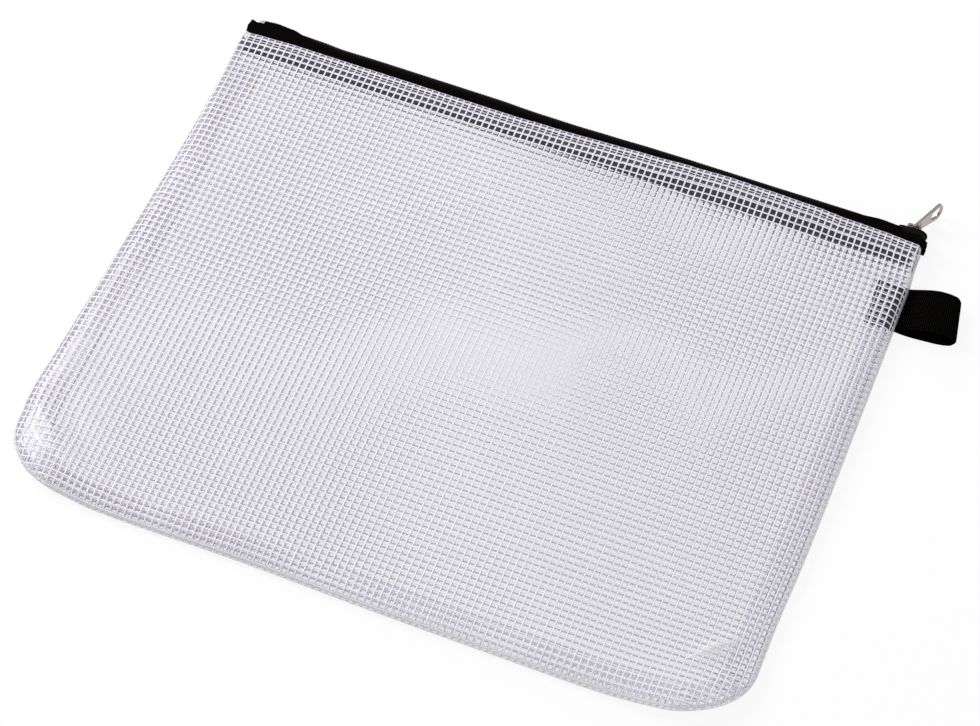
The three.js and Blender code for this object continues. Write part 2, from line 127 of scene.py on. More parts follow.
class PouchSizes(bpy.types.PropertyGroup):
    corner: length("Corner radius", "Radius of the two bottom corners", 28)
    film: length("Film thickness", "Thickness of the clear film", 0.34)
    rim_run: length("Rim run", "How far inside the edge the front film reaches full height", 10)
    mouth_run: length("Mouth rim run", "The same at the stiff mouth", 1.8)
    back_run: length("Back rim run", "Width of the back film's turned-up rim", 2.2)
    rim_fade: length("Rim fade", "How far below the mouth the rim changes from stiff to soft", 60)
    hem: length("Hem", "Depth of the film folded in at the mouth", 7)
    pitch_across: length("Grid pitch across", "From one upright yarn to the next", 2.83)
    pitch_up: length("Grid pitch up", "From one level yarn to the next", 2.93)
    yarn_width: length("Yarn width", "Width of a flat yarn", 0.66)
    yarn_height: length("Yarn height", "Height of a flat yarn", 0.36)
    weave: length("Weave height", "How far a yarn rises and dips at the crossings", 0.05)
    stitch: length("Stitch", "Length of one stitch", 3.0)
    thread: length("Thread", "Diameter of the sewing thread", 0.32)
    tape: length("Tape thickness", "Thickness of the zipper tape", 0.55)
    coil_pitch: length("Coil pitch", "From one coil turn to the next", 1.25)
    coil_wire: length("Coil wire", "Diameter of the coil's wire", 0.72)
    ribbon: length("Ribbon thickness", "Thickness of the loop's ribbon", 0.6)
    rib_pitch: length("Rib pitch", "From one rib of the ribbon to the next", 0.88)


class PouchColours(bpy.types.PropertyGroup):
    film: colour("Film", "Tint of the clear film", (0.37, 0.355, 0.43))
    fold: colour("Folded edge", "Colour of the milky folded edge", (0.9, 0.89, 0.94))
    yarn: colour("Yarn", "Colour of the woven grid", (0.77, 0.75, 0.83))
    thread: colour("Thread", "Colour of the sewing thread", (0.88, 0.87, 0.9))
    tape: colour("Tape", "Colour of the zipper tape", (0.0016, 0.0012, 0.0012))
    coil: colour("Coil", "Colour of the zipper coil", (0.003, 0.0026, 0.0026))
    enamel: colour("Enamel", "Colour of the slider", (0.002, 0.0017, 0.0017))
    nickel: colour("Nickel", "Colour of the crown and the pull tab", (0.48, 0.43, 0.41))
    stop: colour("Stop", "Colour of the bright end stops", (0.86, 0.85, 0.83))
    ribbon: colour("Ribbon", "Colour of the loop's ribbon", (0.0016, 0.0014, 0.0013))
    floor: colour("Floor", "Colour of the floor", (0.86, 0.86, 0.87))


class Millimetres:
    """The sizes in millimetres, by name."""

    def __init__(self, sizes):
        for name in PouchSizes.__annotations__:
            setattr(self, name, getattr(sizes, name) / MM)


# The sizes that the steps use, set anew when a step runs
S = None


def smooth(t):
    u = min(1.0, max(0.0, t))
    return u * u * (3 - 2 * u)


def quarter_round(t):
    u = min(1.0, t)
    return sqrt(max(0.0, 1 - (1 - u) ** 2))


def hill(x, y, centre, long, wide, angle):
    """A smooth bump of height 1 about a point, long by wide, turned by an angle."""
    dx = x - centre[0]
    dy = y - centre[1]
    along = (dx * cos(angle) + dy * sin(angle)) / long
    side = (dy * cos(angle) - dx * sin(angle)) / wide
    return exp(-(along * along + side * side))


# The film's outline and its two faces


def left_edge(y):
    return -RIGHT - FLARE * min(1.0, (MOUTH - y) / (DEPTH - S.corner))


def corner_cut(y):
    below = y - BOTTOM
    if below >= S.corner:
        return 0.0
    return S.corner - sqrt(max(0.0, S.corner ** 2 - (S.corner - below) ** 2))


def edge_at(x, y):
    """Distance inside the outline, and the direction to its nearest point."""
    left = x - left_edge(y)
    right = RIGHT - x
    side = min(left, right)
    below = y - BOTTOM
    sign = -1.0 if left < right else 1.0
    if side < S.corner and below < S.corner:
        dx = S.corner - side
        dy = S.corner - below
        reach = hypot(dx, dy)
        return S.corner - reach, sign * dx / reach, -dy / reach
    if side < below:
        return side, sign, 0.0
    return below, 0.0, -1.0


def spread(distance, width):
    """1 at a place, falling smoothly to 0 around it."""
    return exp(-((distance / width) ** 2))


def between(place, table):
    """A value read smoothly from a table of (place, value)."""
    if place <= table[0][0]:
        return table[0][1]
    for (a, low), (b, high) in zip(table, table[1:]):
        if place <= b:
            return low + (high - low) * smooth((place - a) / (b - a))
    return table[-1][1]


# Tables of (place in X or Y, shift)
LEFT_SWELL = (
    (-117, 0.8), (-108, 0.75), (-99, -0.1), (-89, -0.3), (-80, -1.4), (-73, -1.75), (-58, -1.3), (-42, -1.0),
    (-12, -0.4), (20, 0), (50, 0.15), (85, 0), (100, -0.3), (112, -0.8),
)


def settle(point):
    """How the soft bag lies: its corners are drawn in and lifted, its sides swell a little."""
    x, y, z = point
    left_corner = spread(x + RIGHT - 15, 17) * spread(y - BOTTOM, 24)
    right_corner = spread(hypot(x - RIGHT + 12, y - BOTTOM + 2), 26)
    near_left = smooth(1 - (x - left_edge(y)) / 50)
    near_right = smooth(1 - (RIGHT - x) / 50)
    x += between(y, LEFT_SWELL) * near_left - 1.8 * right_corner
    x -= (1.2 * spread(y + 70, 28) + 1.0 * smooth((y - 95) / 18)) * near_right
    hollow = 1.4 + 0.8 * spread(x + 50, 38)
    y += hollow * smooth((BOTTOM + 55 - point.y) / 55) + 2.1 * left_corner + 1.8 * right_corner
    z += 1.2 * left_corner + 4.3 * right_corner
    return Vector((x, y, z))


def film_waves(x, y):
    """Shallow waves of a film that isn't stretched."""
    point = Vector((x / 46, y / 58, 0.3))
    return 0.8 * noise.noise(point) + 0.25 * noise.noise(point * 2.7)


# Height, centre, length, width and angle of the dents and folds at the two bottom corners
DENTS = (
    (2.3, (-138.5, -93), 11, 3.6, -0.88),
    (-0.9, (-131.5, -89), 19, 4.0, -0.88),
    (1.5, (132, -84.5), 11, 3.2, 0.85),
    (-1.2, (138, -91), 14, 4.5, 0.8),
)


def film_face(side, x, y):
    """Height of a film's outer face, its outward direction in plan and its slope there."""
    inset, out_x, out_y = edge_at(x, y)
    edge_z = SEAM_Z + side * (SEAM_HIGH - SEAM_LOW) / 2
    if side > 0:
        rise = smooth((y - BOTTOM) / (DEPTH - SOLID_HEM))
        crown = BOTTOM_CROWN + (FRONT_HIGH.z - BOTTOM_CROWN) * rise
        stiff = smooth(1 - (MOUTH - SOLID_HEM - y) / S.rim_fade)
        run = S.rim_run + (S.mouth_run - S.rim_run) * stiff
    else:
        crown = 0.0
        run = S.back_run
    t = max(0.0, inset / run)
    z = edge_z + (crown - edge_z) * quarter_round(t)
    slope = 0.0
    if t < 1:
        slope = abs(crown - edge_z) / run * (1 - t) / max(quarter_round(t), 0.08)
    if side > 0:
        calm = smooth((inset - 2) / 26) * (1 - 0.8 * smooth((y - MOUTH + 45) / 30))
        z += film_waves(x, y) * calm
        z += sum(height * hill(x, y, *shape) for height, *shape in DENTS) * smooth(inset / 6)
    return z, out_x, out_y, slope


MOUTH_LINE = (
    (-150, -2.0), (-138, -1.4), (-126, -0.9), (-30, -0.9), (-12, -0.4), (14, 0.4), (32, 0.9), (49, 1.5),
    (66, 2.05), (83, 1.75), (101, 1.4), (118, 0.7), (134, 0.5), (144, -0.1), (150, -0.4),
)
MOUTH_LIFT = ((0, 0), (30, 0.8), (50, 1.4), (100, 1.4), (120, 0.9), (140, 0.4), (150, 0.1))


def mouth_shift(side, x):
    """How far the film's mouth edge lies above or below the straight mouth line."""
    return between(x, MOUTH_LINE) if side > 0 else -0.6


def mouth_lift(side, x, y):
    """How far the front film rides up on the zipper's fold."""
    return between(x, MOUTH_LIFT) * smooth((y - MOUTH + 15) / 13) if side > 0 else 0.0


def panel_at(side, x, t, depth):
    """A point of a film at a depth below its outer face, and the outward normal there.

    t runs up the film, over the fold at the mouth and back down the hem.
    """
    # The fold's radius shrinks towards both ends of the mouth
    inset = min(x - left_edge(MOUTH), RIGHT - x)
    turn = MOUTH_TURN * min(1.0, max(0.12, inset / 2.5))
    start = MOUTH - turn - S.film / 2
    level = min(t, start)
    y = level + mouth_shift(side, x) * smooth((level - 20) / (start - 20))
    z, out_x, out_y, slope = film_face(side, x, min(level, MOUTH))
    normal = Vector((out_x * slope, out_y * slope, side)).normalized()
    face = settle(Vector((x, y, z + mouth_lift(side, x, level))))
    over = t - start
    if over <= 0:
        return face - normal * depth, normal
    centre = face - normal * (S.film / 2 + turn)
    angle = min(over / turn, pi)
    turned = normal * cos(angle) + Vector((0, 1, 0)) * sin(angle)
    point = centre + turned * (turn + S.film / 2 - depth)
    past = over - pi * turn
    if past > 0:
        point.y -= past
    return point, turned


def hem_end():
    return MOUTH - FOLD_DEPTH + pi * MOUTH_TURN + S.hem


def fold_start():
    return MOUTH - MOUTH_TURN - S.film / 2


def fold_rows(count):
    """Rows round the film's fold at the mouth."""
    return [fold_start() + MOUTH_TURN * pi * i / count for i in range(count + 1)]


# Distances inside the edge, fine at the edge and coarse inside
EDGE_STEPS = (0, 0.08, 0.3, 0.7, 1.3, 2.1, 3.1, 4.3, 5.8, 7.6, 9.7, 12)


def distances(points):
    """The distance to each point along the line through them."""
    runs = [0.0]
    for before, after in zip(points, points[1:]):
        runs.append(runs[-1] + dist(before, after))
    return runs


def even(start, end, step):
    """Places from just past start to just before end, about a step apart."""
    count = max(1, round(abs(end - start) / step))
    return [start + (end - start) * i / count for i in range(1, count)]


# Building meshes


def grid_sheet(columns, rows, place):
    """A sheet of columns by rows whose corners are put in place by a function of both numbers."""
    bm = bmesh.new()
    bmesh.ops.create_grid(bm, x_segments=columns - 1, y_segments=rows - 1, size=1)
    uv = bm.loops.layers.uv.new("UVMap")
    flat = {}
    for vert in bm.verts:
        i = round((vert.co.x + 1) / 2 * (columns - 1))
        j = round((vert.co.y + 1) / 2 * (rows - 1))
        point, u, v = place(i, j)
        vert.co = point
        flat[vert] = (u, v)
    for face in bm.faces:
        for loop in face.loops:
            loop[uv].uv = flat[loop.vert]
    return bm


def turn_outward(bm):
    bmesh.ops.recalc_face_normals(bm, faces=bm.faces[:])


def thicken(bm, thickness):
    """Gives a sheet its thickness, half to each side."""
    bm.normal_update()
    bmesh.ops.solidify(bm, geom=bm.faces[:], thickness=thickness)
    turn_outward(bm)


def tube_template(rings, sides, capped=True):
    """A tube along X with a ring of radius 1 at every whole number."""
    bm = bmesh.new()
    turn = Matrix.Rotation(pi / 2, 4, "Y")
    bmesh.ops.create_circle(bm, cap_ends=capped, segments=sides, radius=1, matrix=turn)
    uv = bm.loops.layers.uv.new("UVMap")
    edges = bm.edges[:]
    for _ in range(rings - 1):
        grown = bmesh.ops.extrude_edge_only(bm, edges=edges)["geom"]
        verts = [item for item in grown if isinstance(item, bmesh.types.BMVert)]
        edges = [item for item in grown if isinstance(item, bmesh.types.BMEdge) and item.is_boundary]
        bmesh.ops.translate(bm, verts=verts, vec=(1, 0, 0))
    if capped:
        bmesh.ops.contextual_create(bm, geom=edges)
    turn_outward(bm)
    for face in bm.faces:
        for loop in face.loops:
            co = loop.vert.co
            loop[uv].uv = (co.x, atan2(co.z, co.y) / tau)
    mesh = bpy.data.meshes.new("template")
    bm.to_mesh(mesh)
    bm.free()
    return mesh


def tubes(paths, sides, half_across, half_up, capped=True):
    """One tube for each path. A path is a list of (centre, across, up)."""
    bm = bmesh.new()
    templates = {}
    for path in paths:
        rings = len(path)
        if rings not in templates:
            templates[rings] = tube_template(rings, sides, capped)
        bm.from_mesh(templates[rings])
    verts = iter(bm.verts[:])
    for path in paths:
        for _ in range(len(path) * sides):
            vert = next(verts)
            centre, across, up = path[round(vert.co.x)]
            vert.co = centre + across * (vert.co.y * half_across) + up * (vert.co.z * half_up)
    for mesh in templates.values():
        bpy.data.meshes.remove(mesh)
    bm.normal_update()
    return bm


def raise_faces(bm, depth):
    """Carries the faces of a flat mesh along Z, which closes it to a solid."""
    grown = bmesh.ops.extrude_face_region(bm, geom=bm.faces[:])["geom"]
    moved = [item for item in grown if isinstance(item, bmesh.types.BMVert)]
    bmesh.ops.translate(bm, verts=moved, vec=(0, 0, depth))
    turn_outward(bm)


def round_edges(bm, width, segments=2, sharpest=30):
    """Bevels the edges that turn by more than an angle."""
    limit = radians(sharpest)
    edges = [e for e in bm.edges if len(e.link_faces) == 2 and e.calc_face_angle(0) > limit]
    bmesh.ops.bevel(bm, geom=edges, offset=width, offset_type="OFFSET", affect="EDGES", segments=segments,
                    profile=0.5, material=-1, clamp_overlap=True)


def outline_solid(points, place, depth, rounding, segments=2):
    """A flat outline made a solid, put in place and rounded at its edges."""
    bm = bmesh.new()
    bm.faces.new([bm.verts.new((u, v, 0)) for u, v in points])
    raise_faces(bm, depth)
    for vert in bm.verts:
        vert.co = place(*vert.co)
    turn_outward(bm)
    round_edges(bm, rounding, segments)
    return bm


def finish_piece(bm, name, material, body, slot=None, replaces=(), smooth_angle=40):
    """Turns a bmesh in millimetres into a piece of the pouch."""
    bmesh.ops.scale(bm, vec=(MM, MM, MM), verts=bm.verts[:])
    mesh = bpy.data.meshes.new(name)
    bm.to_mesh(mesh)
    bm.free()
    mesh.materials.append(material)
    mesh.shade_smooth()
    mesh.set_sharp_from_angle(angle=radians(smooth_angle))
    piece = bpy.data.objects.new(name, mesh)
    bpy.context.scene.collection.objects.link(piece)
    if body:
        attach(piece, body)
    if replaces:
        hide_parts(*replaces)
    return piece


def sheet_piece(columns, rows, place, thickness, name, material, slot, replaces=(), smooth_angle=40):
    """A piece of one thick sheet that rides on the pouch."""
    bm = grid_sheet(columns, rows, place)
    thicken(bm, thickness)
    finish_piece(bm, name, material, "pouch", slot, replaces, smooth_angle)


def tube_piece(paths, half_across, half_up, name, material, slot, replaces=(), sides=6):
    """A piece of thin tubes that rides on the pouch."""
    bm = tubes(paths, sides, half_across, half_up)
    finish_piece(bm, name, material, "pouch", slot, replaces, 75)


def joined(parts):
    """Several bmeshes as one."""
    whole = bmesh.new()
    for part in parts:
        mesh = bpy.data.meshes.new("part")
        part.to_mesh(mesh)
        part.free()
        whole.from_mesh(mesh)
        bpy.data.meshes.remove(mesh)
    return whole


def rounded_box(low, high, width, segments=2):
    bm = bmesh.new()
    middle = (Vector(low) + Vector(high)) / 2
    size = Vector(high) - Vector(low)
    place = Matrix.Translation(middle) @ Matrix.Diagonal((*size, 1))
    bmesh.ops.create_cube(bm, size=1, matrix=place)
    round_edges(bm, width, segments)
    return bm


# Materials


def shade(tint, factor):
    return tuple(min(1.0, channel * factor) for channel in tint)


class Finish:
    """A material with one Principled shader, and the steps that the finishes share."""

    def __init__(self, name, inputs):
        self.material = bpy.data.materials.new(name)
        self.material.use_nodes = True
        self.nodes = self.material.node_tree.nodes
        self.shader = self.nodes["Principled BSDF"]
        self.fill(self.shader, inputs)

    def fill(self, node, inputs):
        """An input that is given a socket is linked to it, and any other is set."""
        for key, value in inputs.items():
            if isinstance(value, bpy.types.NodeSocket):
                self.material.node_tree.links.new(value, node.inputs[key])
            else:
                node.inputs[key].default_value = value

    def node(self, kind, output, inputs):
        """The output of a new node."""
        node = self.nodes.new("ShaderNode" + kind)
        self.fill(node, inputs)
        return node.outputs[output]

    def place(self, coordinates, scale):
        """Object coordinates or the UV map, scaled."""
        source = self.node("TexCoord", coordinates, {})
        return self.node("Mapping", "Vector", {"Vector": source, "Scale": scale})

    def clouds(self, stretch, detail):
        """Clouds on Object coordinates, as many to a metre as the stretch says."""
        inputs = {"Vector": self.place("Object", stretch), "Scale": 1.0, "Detail": detail}
        return self.node("TexNoise", "Fac", inputs)

    def lines(self, stretch, scale, direction, wander):
        """Lines on the UV map."""
        inputs = {"Vector": self.place("UV", stretch), "Scale": scale, "Distortion": wander, "Detail": 1.0}
        pattern = self.node("TexWave", "Fac", inputs)
        pattern.node.bands_direction = direction
        return pattern

    def maths(self, operation, first, second):
        result = self.node("Math", "Value", {0: first, 1: second})
        result.node.operation = operation
        return result

    def colour(self, factor, first, last, end=1.0):
        """Runs the base colour from one tint to another."""
        ramp = self.node("ValToRGB", "Color", {"Fac": factor})
        low, high = ramp.node.color_ramp.elements
        low.color = (*first, 1)
        high.color = (*last, 1)
        high.position = end
        self.fill(self.shader, {"Base Color": ramp})

    def bump(self, height, strength, distance):
        inputs = {"Strength": strength, "Distance": distance, "Height": height}
        self.fill(self.shader, {"Normal": self.node("Bump", "Normal", inputs)})

    def roughness(self, factor, low, high):
        span = self.node("MapRange", "Result", {"To Min": low, "To Max": high, "Value": factor})
        self.fill(self.shader, {"Roughness": span})


def cloudy(name, tint, scale, detail, shades, middle, spans, inputs):
    """A finish whose colour and roughness follow fine clouds, and the clouds."""
    finish = Finish(name, inputs)
    tone = finish.clouds((scale, scale, scale), detail)
    finish.colour(tone, shade(tint, shades[0]), shade(tint, shades[1]))
    finish.roughness(tone, middle - spans[0], middle + spans[1])
    return finish, tone


def film_material(name, tint, alpha, gloss):
    """Clear film, a little hazy and rippled."""
    inputs = {"IOR": gloss, "Alpha": alpha}
    finish, _ = cloudy(name, tint, 28, 3.0, (0.9, 1.1), 0.1, (0.0, 0.1), inputs)
    finish.bump(finish.clouds((160, 160, 160), 2.0), 0.2, 0.0006)
    return finish.material


def yarn_material(name, tint, roughness, twist):
    """Twisted filament: a slanted line pattern round and along each yarn's UV map."""
    inputs = {"Specular IOR Level": 0.35}
    finish, _ = cloudy(name, tint, 900, 2.0, (0.93, 1.05), roughness, (0.06, 0.06), inputs)
    finish.bump(finish.lines((1, twist, 1), 3.0, "DIAGONAL", 0.6), 0.15, 0.00003)
    return finish.material


def plastic_material(name, tint, roughness, shine):
    """Moulded or painted surface with a fine grain."""
    inputs = {"Specular IOR Level": shine}
    finish, tone = cloudy(name, tint, 700, 3.0, (0.75, 1.3), roughness, (0.08, 0.08), inputs)
    finish.bump(tone, 0.2, 0.00005)
    return finish.material


def metal_material(name, tint, roughness, stretch):
    """Plated metal, brushed along its length and a little worn."""
    inputs = {"Metallic": 1.0}
    finish, _ = cloudy(name, tint, 380, 3.0, (0.85, 1.12), roughness, (0.07, 0.09), inputs)
    finish.bump(finish.clouds(stretch, 4.0), 0.25, 0.00006)
    return finish.material


# Scale of a line pattern whose lines lie one unit apart
ONE_LINE = 0.314159


def cloth_material(name, tint, across, along, crossing, end, roughness, weave_and_sheen, shine):
    """Woven cloth: two crossed line patterns, each with its pitch in millimetres on the UV map. Its lighter
    threads are the weave's tone, and on the ribbon also a painted sheen.
    """
    finish = Finish(name, {"Specular IOR Level": shine})
    warp = finish.lines((1, 1, 1), ONE_LINE / across, "X", 0.4)
    weft = finish.lines((1, 1, 1), ONE_LINE / along, "Y", 0.4)
    weave = finish.maths(crossing, warp, weft)
    finish.colour(weave, shade(tint, weave_and_sheen), shade(tint, 0.3), end)
    finish.bump(weave, 0.6, 0.00012)
    finish.roughness(weave, roughness, roughness - 0.12)
    return finish.material


# How much of the floor that the camera sees is plain white
FLOOR_GLOW = 0.88


def floor_material(tint):
    """A pale floor that shows as white to the camera and keeps a soft part of the shadow."""
    finish = Finish("pale_floor", {"Base Color": (*tint, 1), "Roughness": 0.9, "Specular IOR Level": 0.1})
    seen = finish.node("LightPath", "Is Camera Ray", {})
    rays = seen.node.outputs
    for ray in ("Is Glossy Ray", "Is Transmission Ray"):
        seen = finish.maths("MAXIMUM", seen, rays[ray])
    share = finish.maths("MULTIPLY", seen, FLOOR_GLOW)
    glow = finish.node("Emission", "Emission", {"Strength": 1.0})
    mix = finish.node("MixShader", "Shader", {"Fac": share, 1: finish.shader.outputs["BSDF"], 2: glow})
    finish.fill(finish.nodes["Material Output"], {"Surface": mix})
    return finish.material


# Film and grid


def make_film(side, name, material, replaced):
    """A sheet from the bottom edge over the fold at the mouth to the hem's end."""
    rows = [BOTTOM + step for step in EDGE_STEPS]
    rows += even(rows[-1], MOUTH - 2, 2.4) + [MOUTH - 2, MOUTH - 1.2] + fold_rows(6)
    rows += even(rows[-1], hem_end(), 2.2) + [hem_end()]
    inside = EDGE_STEPS[-1]
    count = 118

    def columns_at(y):
        cut = corner_cut(y)
        start = left_edge(min(y, MOUTH)) + cut
        end = RIGHT - cut
        run = end - inside - (start + inside)
        columns = [start + step for step in EDGE_STEPS]
        columns += [start + inside + run * i / count for i in range(1, count)]
        return columns + [end - step for step in reversed(EDGE_STEPS)]

    columns = [columns_at(row) for row in rows]

    def place(i, j):
        point, _ = panel_at(side, columns[j][i], rows[j], S.film / 2 + FILM_SKIN)
        return point, columns[j][i], rows[j]

    sheet_piece(len(columns[0]), len(rows), place, S.film, name, material, "grid_film", replaced)


def crossings(low, high, first, pitch):
    """The places between two ends where a yarn crosses others."""
    start = ceil((low - first) / pitch)
    stop = ceil((high - first) / pitch)
    return {round(first + k * pitch, 4) for k in range(start, stop)}


def yarn_stops(low, high, places, fine_high):
    """The ends of a yarn, its crossings, and finer steps at its first end or at both."""
    stops = {low, high} | {low + step for step in EDGE_STEPS[1:8] if low + step < high}
    if fine_high:
        stops |= {high - step for step in EDGE_STEPS[1:8] if high - step > low}
    result = [low]
    for stop in sorted(stops | places)[1:]:
        if stop - result[-1] > 0.05:
            result.append(stop)
    return result


def station(side, x, t, lift, along_x):
    """Centre and frame of a yarn that follows the film."""
    point, normal = panel_at(side, x, t, S.film / 2 + FILM_SKIN - lift)
    along = Vector((1, 0, 0)) if along_x else Vector((0, 1, 0)) if t < MOUTH else Vector((0, -1, 0))
    if not along_x and abs(normal.y) > 0.9:
        along = -UP
    across = normal.cross(along)
    if across.length < 1e-3:
        across = Vector((0, 1, 0)) if along_x else Vector((1, 0, 0))
    across.normalize()
    return point, across, normal


def make_scrim(side, name, material, phase, turn):
    """The woven grid in one film: upright yarns, then level yarns."""
    first_x, first_y = phase
    top = hem_end()

    def wave(x, y):
        return S.weave * cos(pi * (x + y))

    def inside(x, t):
        cut = corner_cut(t) + YARN_MARGIN
        return left_edge(min(t, MOUTH)) + cut <= x <= RIGHT - cut

    def upright(number):
        """One yarn from the bottom edge to the hem's end, where it lies inside the outline."""
        base = first_x + number * S.pitch_across
        samples = [BOTTOM + (top - BOTTOM) * i / 800 for i in range(801)]
        held = [t for t in samples if inside(base - slant * t, t)]
        if len(held) < 12:
            return
        low, high = held[0], held[-1]
        places = crossings(low, high, first_y, S.pitch_up) | {t for t in fold_rows(5) if t < high}
        path = []
        for t in yarn_stops(low, high, places, False):
            lift = wave((t - first_y) / S.pitch_up, number)
            path.append(station(side, base - slant * t, t, lift, False))
        uprights.append(path)

    def level(base, number, slant):
        """One yarn from side edge to side edge."""
        if base < BOTTOM + YARN_MARGIN or base > top - 0.3:
            return
        cut = corner_cut(base) + YARN_MARGIN
        low = left_edge(min(base, MOUTH)) + cut
        high = RIGHT - cut
        path = []
        for x in yarn_stops(low, high, crossings(low, high, first_x, S.pitch_across), True):
            t = base + slant * x
            if BOTTOM + YARN_MARGIN <= t <= top - 0.2:
                path.append(station(side, x, t, -wave((x - first_x) / S.pitch_across, number), True))
        if len(path) > 3:
            levels.append(path)

    slant = tan(turn)
    uprights = []
    levels = []
    start = ceil((left_edge(BOTTOM) - first_x) / S.pitch_across) - 3
    for number in range(start, floor((RIGHT + 3 - first_x) / S.pitch_across) + 1):
        upright(number)
    start = ceil((BOTTOM - first_y) / S.pitch_up) - 2
    for number in range(start, ceil((top + 3 - first_y) / S.pitch_up)):
        level(first_y + number * S.pitch_up, number, slant)
    level(fold_start() + 0.6, 0, 0.0)
    half = (S.yarn_width / 2, S.yarn_height / 2)
    tube_piece(uprights, *half, name + "_upright", material, "grid_film")
    tube_piece(levels, *half, name + "_level", material, "grid_film")


# Sewn edge


def edge_length(top):
    side = top - (BOTTOM + S.corner)
    flat = (RIGHT - S.corner) - (left_edge(BOTTOM) + S.corner)
    return 2 * side + flat + pi * S.corner


def edge_station(distance, top):
    """A point of the outline and its outward direction, at a distance from the upper left end."""
    corner_y = BOTTOM + S.corner
    left_x = left_edge(BOTTOM) + S.corner
    right_x = RIGHT - S.corner
    if distance < top - corner_y:
        y = top - distance
        return left_edge(y), y, -1.0, 0.0
    distance -= top - corner_y
    for x, turned, flat in ((left_x, pi, right_x - left_x), (right_x, pi * 1.5, 0.0)):
        if distance < pi / 2 * S.corner:
            angle = turned + distance / S.corner
            out_x, out_y = cos(angle), sin(angle)
            return x + out_x * S.corner, corner_y + out_y * S.corner, out_x, out_y
        distance -= pi / 2 * S.corner
        if distance < flat:
            return x + distance, BOTTOM, 0.0, -1.0
        distance -= flat
    return RIGHT, corner_y + distance, 1.0, 0.0


def allowance_at(side, distance, inset, lift):
    """A point of a seam allowance, with the small pleats of its corners and room for the ribbon's tail."""
    x, y, out_x, out_y = edge_station(distance, SEAM_TOP)
    corner = abs(out_x * out_y) * 2
    low, high = ALLOWANCES[side]
    fan = smooth((inset - 1.6) / 8)
    z = (low.z + high.z) / 2 + lift
    z += side * fan * (0.15 + corner * 0.45 * (1 + sin(distance * 0.9)))
    if out_x > 0.5:
        z += side * 0.8 * smooth((y - TAIL_LOW.y + 6) / 5) * smooth((TAIL_HIGH.y + 7 - y) / 5) * fan
    return settle(Vector((x - out_x * inset, y - out_y * inset, z))), Vector((out_x, out_y, 0))


def make_allowance(side, name, yarn, replaced):
    """The grid in the film turned in at the edge: short yarns across it and long ones along it."""
    total = edge_length(SEAM_TOP)
    steps = round(total / S.pitch_up)
    paths = []
    for k in range(1, steps):
        path = []
        for inset in (1.7, 3, 4.5, 6, 7.5, 9, 10.5, 11.9):
            point, out = allowance_at(side, total * k / steps + 0.7, inset, 0.02)
            path.append((point, UP.cross(out), UP))
        paths.append(path)
    rings = 300
    for inset in (1.9, 4.2, 7.0, 9.8, 11.8):
        path = [allowance_at(side, total * k / rings, inset, -0.02) for k in range(rings + 1)]
        paths.append([(point, out, UP) for point, out in path])
    tube_piece(paths, S.yarn_width / 3, S.yarn_height / 3, name + "_grid", yarn, "grid_film", (replaced,))


# Painted highlight strips along the corner creases: the two ends of each in X and Y, how far it bows
# sideways, and its width
CREASE_HIGHLIGHTS = (
    ((122.6, -94.6), (139.4, -78.8), 0.5, 3.4),
    ((126.0, -91.6), (136.6, -81.4), 0.4, 1.5),
    ((-147.6, -92.0), (-137.6, -102.0), -0.9, 2.2),
    ((-150.0, -99.5), (-146.6, -103.0), -0.4, 1.5),
)


def make_crease_highlights(material):
    """Whiter strips of film along the folds at the two bottom corners: a painted highlight where the
    stretched film catches the light.
    """
    parts = []
    for start, end, bow, width in CREASE_HIGHLIGHTS:
        first = Vector(start)
        run = Vector(end) - first
        side = Vector((-run.y, run.x)).normalized()

        def place(i, j):
            share = i / 30
            swing = sin(pi * share)
            off = bow * swing + width / 4 * (j - 2) * (0.12 + 0.88 * swing)
            spot = first + run * share + side * off
            point, _ = panel_at(1, spot.x, spot.y, -0.02 - 0.1 / width + 0.03 * (j - 2) ** 2)
            return point, run.length * share, j

        bm = grid_sheet(31, 5, place)
        thicken(bm, 0.08)
        parts.append(bm)
    finish_piece(joined(parts), "corner_crease_highlights", material, "pouch", "grid_film", smooth_angle=80)


def make_edge_fold(material):
    """The milky fold of film that closes the side seam all round."""
    top = MOUTH - 1.5
    total = edge_length(top)
    count = 420
    profile = ((1, 0.8), (1, 0.5), (1, 0.28), (1, 0.12), (0, -0.1), (-1, 0.2), (-1, 0.45), (-1, 0.8))

    def place(i, j):
        distance = total * i / (count - 1)
        side, inset = profile[j]
        x, y, out_x, out_y = edge_station(distance, top)
        x -= out_x * inset
        y -= out_y * inset
        z = SEAM_Z
        if side:
            lift = 0.16 if side > 0 else -0.02
            z = film_face(side, x, y)[0] + lift
        return settle(Vector((x, y, z))), distance, inset * side

    sheet_piece(count, len(profile), place, 0.12, "edge_fold", material, "grid_film", smooth_angle=80)


# A stitch's path: share of its length, and height
STITCH = ((0.04, -0.5), (0.12, 0.5), (0.35, 1), (0.65, 1), (0.88, 0.5), (0.96, -0.5))


def stitch_row(spots, up, rise, name, material, replaced):
    """One stitch between each two spots. It dips at both ends and lies on top between them."""
    paths = []
    for start, end in zip(spots, spots[1:]):
        across = up.cross((end - start).normalized())
        paths.append([(start.lerp(end, share) + up * rise * height, across, up) for share, height in STITCH])
    tube_piece(paths, S.thread / 2, S.thread / 2, name, material, "sewing_thread", (replaced,))


def make_seam_stitches(material):
    top = SEAM_TOP
    total = edge_length(top)
    count = round(total / S.stitch)
    spots = []
    for k in range(count + 1):
        x, y, out_x, out_y = edge_station(min(total - 0.01, total * k / count), top)
        spots.append(settle(Vector((x - out_x * SEAM_INSET, y - out_y * SEAM_INSET, SEAM_Z))))
    stitch_row(spots, UP, 0.05, "seam_stitches", material, "perimeter_thread")


def make_hem_stitches(side, name, material, replaced):
    reach = RIGHT - 3
    count = round(2 * reach / S.stitch)
    places = [-reach + 2 * reach * k / count for k in range(count + 1)]
    spots = [panel_at(side, x, MOUTH - HEM_SEAM_INSET, 0)[0] for x in places]
    stitch_row(spots, Vector((0, 0, side)), 0.06, name, material, replaced)


# Zipper


